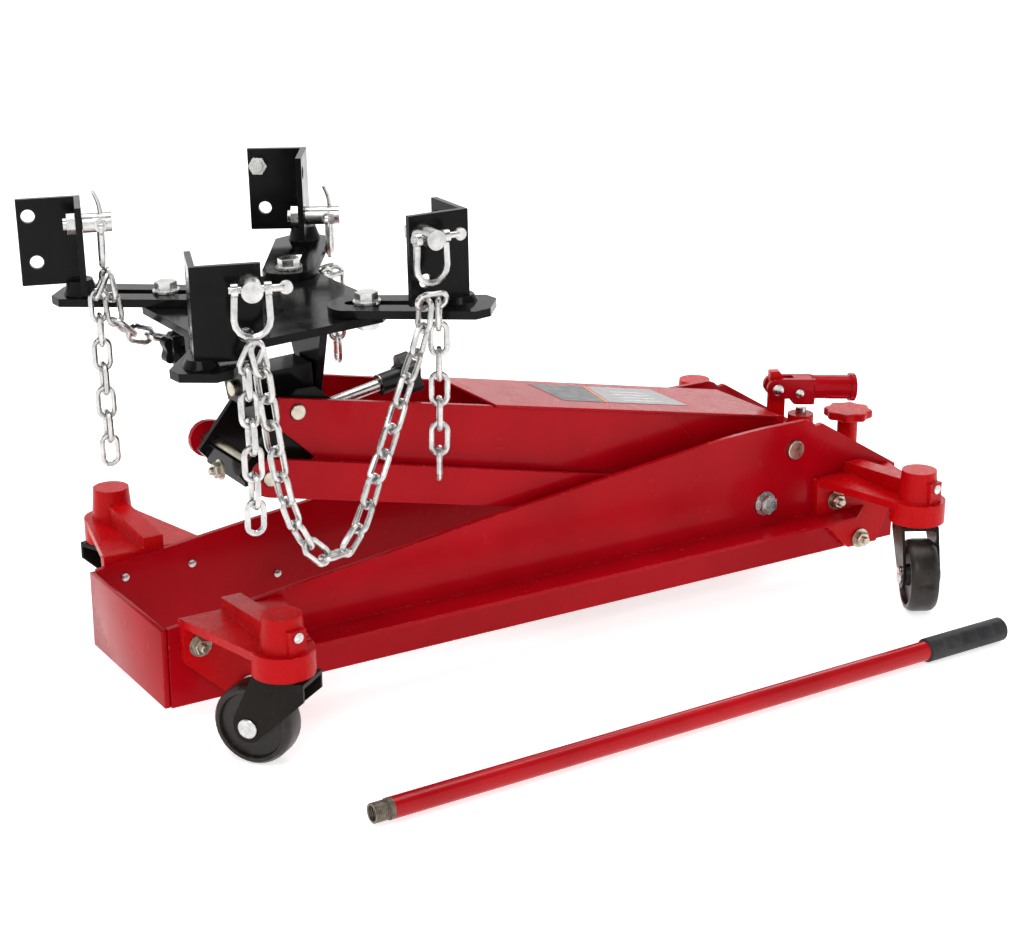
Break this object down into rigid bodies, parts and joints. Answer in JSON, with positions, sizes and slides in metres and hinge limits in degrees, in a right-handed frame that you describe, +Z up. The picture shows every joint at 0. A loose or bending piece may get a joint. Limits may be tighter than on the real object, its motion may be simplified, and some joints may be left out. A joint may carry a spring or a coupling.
{
  "type": "hydraulic transmission jack",
  "caption": "Low four-caster floor jack with a parallelogram lift arm, a tilting saddle with slotted arms, holding chains and a loose pump handle.",
  "frame": {"origin": "middle of the bounding box on the floor", "axes": "+X from the saddle end to the pump end, +Y across from the loose handle side, +Z up"},
  "size_m": [0.9429, 0.6104, 0.491],
  "materials": {
    "red_paint": "deep red gloss enamel",
    "black_paint": "gloss black enamel",
    "zinc_plate": "bright zinc plate",
    "pin_steel": "oiled steel with a yellow passivated tint",
    "wheel_nylon": "dark brown-black moulded wheel",
    "grip_rubber": "dark grey moulded grip"
  },
  "bodies": {
    "frame": {"front_plate": "red_paint", "side_plate_left": "red_paint", "side_plate_right": "red_paint", "caster_bracket_front_left": "red_paint", "caster_bracket_front_right": "red_paint", "caster_bracket_rear_left": "red_paint", "caster_bracket_rear_right": "red_paint", "lift_shaft": "pin_steel", "link_bolt_left": "zinc_plate", "link_bolt_right": "zinc_plate", "ram_cylinder": "red_paint", "pump_body": "red_paint"},
    "lift_arm": {"arm_plate_left": "red_paint", "arm_plate_right": "red_paint", "lift_crank": "red_paint", "arm_cover": "red_paint"},
    "lower_link": {"link_bar_left": "red_paint", "link_bar_right": "red_paint"},
    "head": {"head_bracket": "black_paint", "upper_pin_left": "pin_steel", "upper_pin_right": "pin_steel", "lower_pin": "pin_steel"},
    "tilt_block": {"tilt_block": "black_paint"},
    "tilt_screw": {"tilt_screw": "black_paint"},
    "side_tilt_screw": {"side_tilt_screw": "black_paint"},
    "saddle": {"saddle_plate": "black_paint", "roll_pin": "pin_steel", "chain_front": "zinc_plate", "chain_rear": "zinc_plate"},
    "bolt_front": {"arm_bolt_front": "zinc_plate"},
    "arm_front": {"saddle_arm_front": "black_paint", "stud_front": "zinc_plate"},
    "shackle_front": {"shackle_front": "zinc_plate"},
    "bolt_rear": {"arm_bolt_rear": "zinc_plate"},
    "arm_rear": {"saddle_arm_rear": "black_paint", "stud_rear": "zinc_plate", "stud_rear_spare": "zinc_plate"},
    "shackle_rear": {"shackle_rear": "zinc_plate"},
    "bolt_left": {"arm_bolt_left": "zinc_plate"},
    "arm_left": {"saddle_arm_left": "black_paint", "stud_left": "zinc_plate"},
    "shackle_left": {"shackle_left": "zinc_plate"},
    "bolt_right": {"arm_bolt_right": "zinc_plate"},
    "arm_right": {"saddle_arm_right": "black_paint", "stud_right": "zinc_plate"},
    "shackle_right": {"shackle_right": "zinc_plate"},
    "ram": {"ram_rod": "pin_steel"},
    "fork_front_left": {"caster_fork_front_left": "black_paint"},
    "wheel_front_left": {"wheel_front_left": "wheel_nylon"},
    "fork_front_right": {"caster_fork_front_right": "black_paint"},
    "wheel_front_right": {"wheel_front_right": "wheel_nylon"},
    "fork_rear_left": {"caster_fork_rear_left": "black_paint"},
    "wheel_rear_left": {"wheel_rear_left": "wheel_nylon"},
    "fork_rear_right": {"caster_fork_rear_right": "black_paint"},
    "wheel_rear_right": {"wheel_rear_right": "wheel_nylon"},
    "handle_socket": {"handle_socket": "red_paint"},
    "pump_piston": {"pump_piston": "zinc_plate"},
    "release_knob": {"release_knob": "red_paint"},
    "handle": {"handle_tube": "red_paint", "handle_grip": "grip_rubber"}
  },
  "joints": [
    {"name": "lift", "type": "hinge", "parent": "frame", "child": "lift_arm", "pos_m": [0.3059, 0.0582, 0.1558], "axis": [0, 1, 0], "range_deg": [-16, 50], "deforming": ["chain_front", "chain_rear"]},
    {"name": "link_swing", "type": "hinge", "parent": "frame", "child": "lower_link", "pos_m": [0.2667, 0.0582, 0.1005], "axis": [0, 1, 0], "range_deg": [-16, 50]},
    {"name": "head_level", "type": "hinge", "parent": "lift_arm", "child": "head", "pos_m": [-0.2808, 0.0582, 0.2863], "axis": [0, 1, 0], "range_deg": [-50, 16]},
    {"name": "tilt_fore_aft", "type": "hinge", "parent": "head", "child": "tilt_block", "pos_m": [-0.2596, 0.0582, 0.2771], "axis": [0, 1, 0], "range_deg": [-6, 6]},
    {"name": "tilt_screw_turn", "type": "hinge", "parent": "head", "child": "tilt_screw", "pos_m": [-0.2391, 0.0582, 0.26498], "axis": [0.9823, 0, 0.1874], "range_deg": [-540, 540]},
    {"name": "tilt_side", "type": "hinge", "parent": "tilt_block", "child": "saddle", "pos_m": [-0.27916, 0.0582, 0.3038], "axis": [0.9986, 0, 0.0523], "range_deg": [-8, 8]},
    {"name": "side_tilt_screw_turn", "type": "hinge", "parent": "tilt_block", "child": "side_tilt_screw", "pos_m": [-0.3554, 0.0582, 0.33516], "axis": [0, 1, 0], "range_deg": [-720, 720]},
    {"name": "arm_turn_front", "type": "hinge", "parent": "saddle", "child": "bolt_front", "pos_m": [-0.35001, -0.0248, 0.37549], "axis": [-0.0523, 0, 0.9986], "range_deg": [-20, 20]},
    {"name": "arm_slide_front", "type": "slide", "parent": "bolt_front", "child": "arm_front", "axis": [-0.6486, -0.7604, -0.034], "range_m": [-0.025, 0.003]},
    {"name": "shackle_swing_front", "type": "hinge", "parent": "arm_front", "child": "shackle_front", "pos_m": [-0.39203, -0.14586, 0.4526], "axis": [0.9384, -0.342, 0.0492], "range_deg": [-25, 25]},
    {"name": "arm_turn_rear", "type": "hinge", "parent": "saddle", "child": "bolt_rear", "pos_m": [-0.21619, 0.1412, 0.38251], "axis": [-0.0523, 0, 0.9986], "range_deg": [-20, 20]},
    {"name": "arm_slide_rear", "type": "slide", "parent": "bolt_rear", "child": "arm_rear", "axis": [0.5439, 0.8387, 0.0285], "range_m": [-0.025, 0]},
    {"name": "shackle_swing_rear", "type": "hinge", "parent": "arm_rear", "child": "shackle_rear", "pos_m": [-0.14385, 0.19187, 0.42794], "axis": [-0.5292, -0.848, -0.0277], "range_deg": [0, 25]},
    {"name": "arm_turn_left", "type": "hinge", "parent": "saddle", "child": "bolt_left", "pos_m": [-0.21619, -0.0248, 0.38251], "axis": [-0.0523, 0, 0.9986], "range_deg": [-20, 20]},
    {"name": "arm_slide_left", "type": "slide", "parent": "bolt_left", "child": "arm_left", "axis": [0.756, -0.6534, 0.0396], "range_m": [-0.025, 0.012]},
    {"name": "shackle_swing_left", "type": "hinge", "parent": "arm_left", "child": "shackle_left", "pos_m": [-0.19003, -0.10311, 0.46528], "axis": [-0.998, 0.0349, -0.0523], "range_deg": [-25, 25]},
    {"name": "arm_turn_right", "type": "hinge", "parent": "saddle", "child": "bolt_right", "pos_m": [-0.35001, 0.1412, 0.37549], "axis": [-0.0523, 0, 0.9986], "range_deg": [-20, 20]},
    {"name": "arm_slide_right", "type": "slide", "parent": "bolt_right", "child": "arm_right", "axis": [-0.7363, 0.6756, -0.0386], "range_m": [-0.025, 0.02]},
    {"name": "shackle_swing_right", "type": "hinge", "parent": "arm_right", "child": "shackle_right", "pos_m": [-0.41222, 0.14686, 0.45936], "axis": [-0.3416, -0.9397, -0.0179], "range_deg": [-15, 25]},
    {"name": "ram_stroke", "type": "slide", "parent": "frame", "child": "ram", "axis": [-1, 0, 0], "range_m": [-0.0147, 0.0459]},
    {"name": "swivel_front_left", "type": "hinge", "parent": "frame", "child": "fork_front_left", "pos_m": [-0.3746, -0.1458, 0.0915], "axis": [0, 0, 1], "continuous": true},
    {"name": "spin_front_left", "type": "hinge", "parent": "fork_front_left", "child": "wheel_front_left", "pos_m": [-0.39175, -0.12304, 0.0395], "axis": [-0.7986, -0.6018, 0], "continuous": true},
    {"name": "swivel_front_right", "type": "hinge", "parent": "frame", "child": "fork_front_right", "pos_m": [-0.3746, 0.2622, 0.0915], "axis": [0, 0, 1], "continuous": true},
    {"name": "spin_front_right", "type": "hinge", "parent": "fork_front_right", "child": "wheel_front_right", "pos_m": [-0.34782, 0.27195, 0.0395], "axis": [-0.342, 0.9397, 0], "continuous": true},
    {"name": "swivel_rear_left", "type": "hinge", "parent": "frame", "child": "fork_rear_left", "pos_m": [0.3884, -0.1458, 0.0915], "axis": [0, 0, 1], "continuous": true},
    {"name": "spin_rear_left", "type": "hinge", "parent": "fork_rear_left", "child": "wheel_rear_left", "pos_m": [0.37394, -0.17036, 0.0395], "axis": [0.8616, -0.5075, 0], "continuous": true},
    {"name": "swivel_rear_right", "type": "hinge", "parent": "frame", "child": "fork_rear_right", "pos_m": [0.3884, 0.2622, 0.0915], "axis": [0, 0, 1], "continuous": true},
    {"name": "spin_rear_right", "type": "hinge", "parent": "fork_rear_right", "child": "wheel_rear_right", "pos_m": [0.36162, 0.25245, 0.0395], "axis": [0.342, -0.9397, 0], "continuous": true},
    {"name": "pump_stroke", "type": "hinge", "parent": "frame", "child": "handle_socket", "pos_m": [0.3498, 0.0582, 0.1981], "axis": [-0.4115, -0.9114, 0], "range_deg": [0, 45]},
    {"name": "piston_stroke", "type": "slide", "parent": "frame", "child": "pump_piston", "axis": [0, 0, 1], "range_m": [0, 0.02475]},
    {"name": "release_turn", "type": "hinge", "parent": "frame", "child": "release_knob", "pos_m": [0.4435, 0.0382, 0.1525], "axis": [0, 0, 1], "range_deg": [0, 360]},
    {"name": "handle_pull", "type": "slide", "parent": "frame", "child": "handle", "axis": [0, -1, 0], "range_m": [0, 0.2]}
  ],
  "couplings": [
    {"joint": "link_swing", "follows": "lift", "ratio": 1},
    {"joint": "head_level", "follows": "lift", "ratio": -1},
    {"joint": "tilt_screw_turn", "follows": "tilt_fore_aft", "ratio": 90},
    {"joint": "side_tilt_screw_turn", "follows": "tilt_side", "ratio": 90},
    {"joint": "ram_stroke", "follows": "lift", "m_per_rad": 0.0526},
    {"joint": "piston_stroke", "follows": "pump_stroke", "m_per_rad": 0.0315}
  ]
}
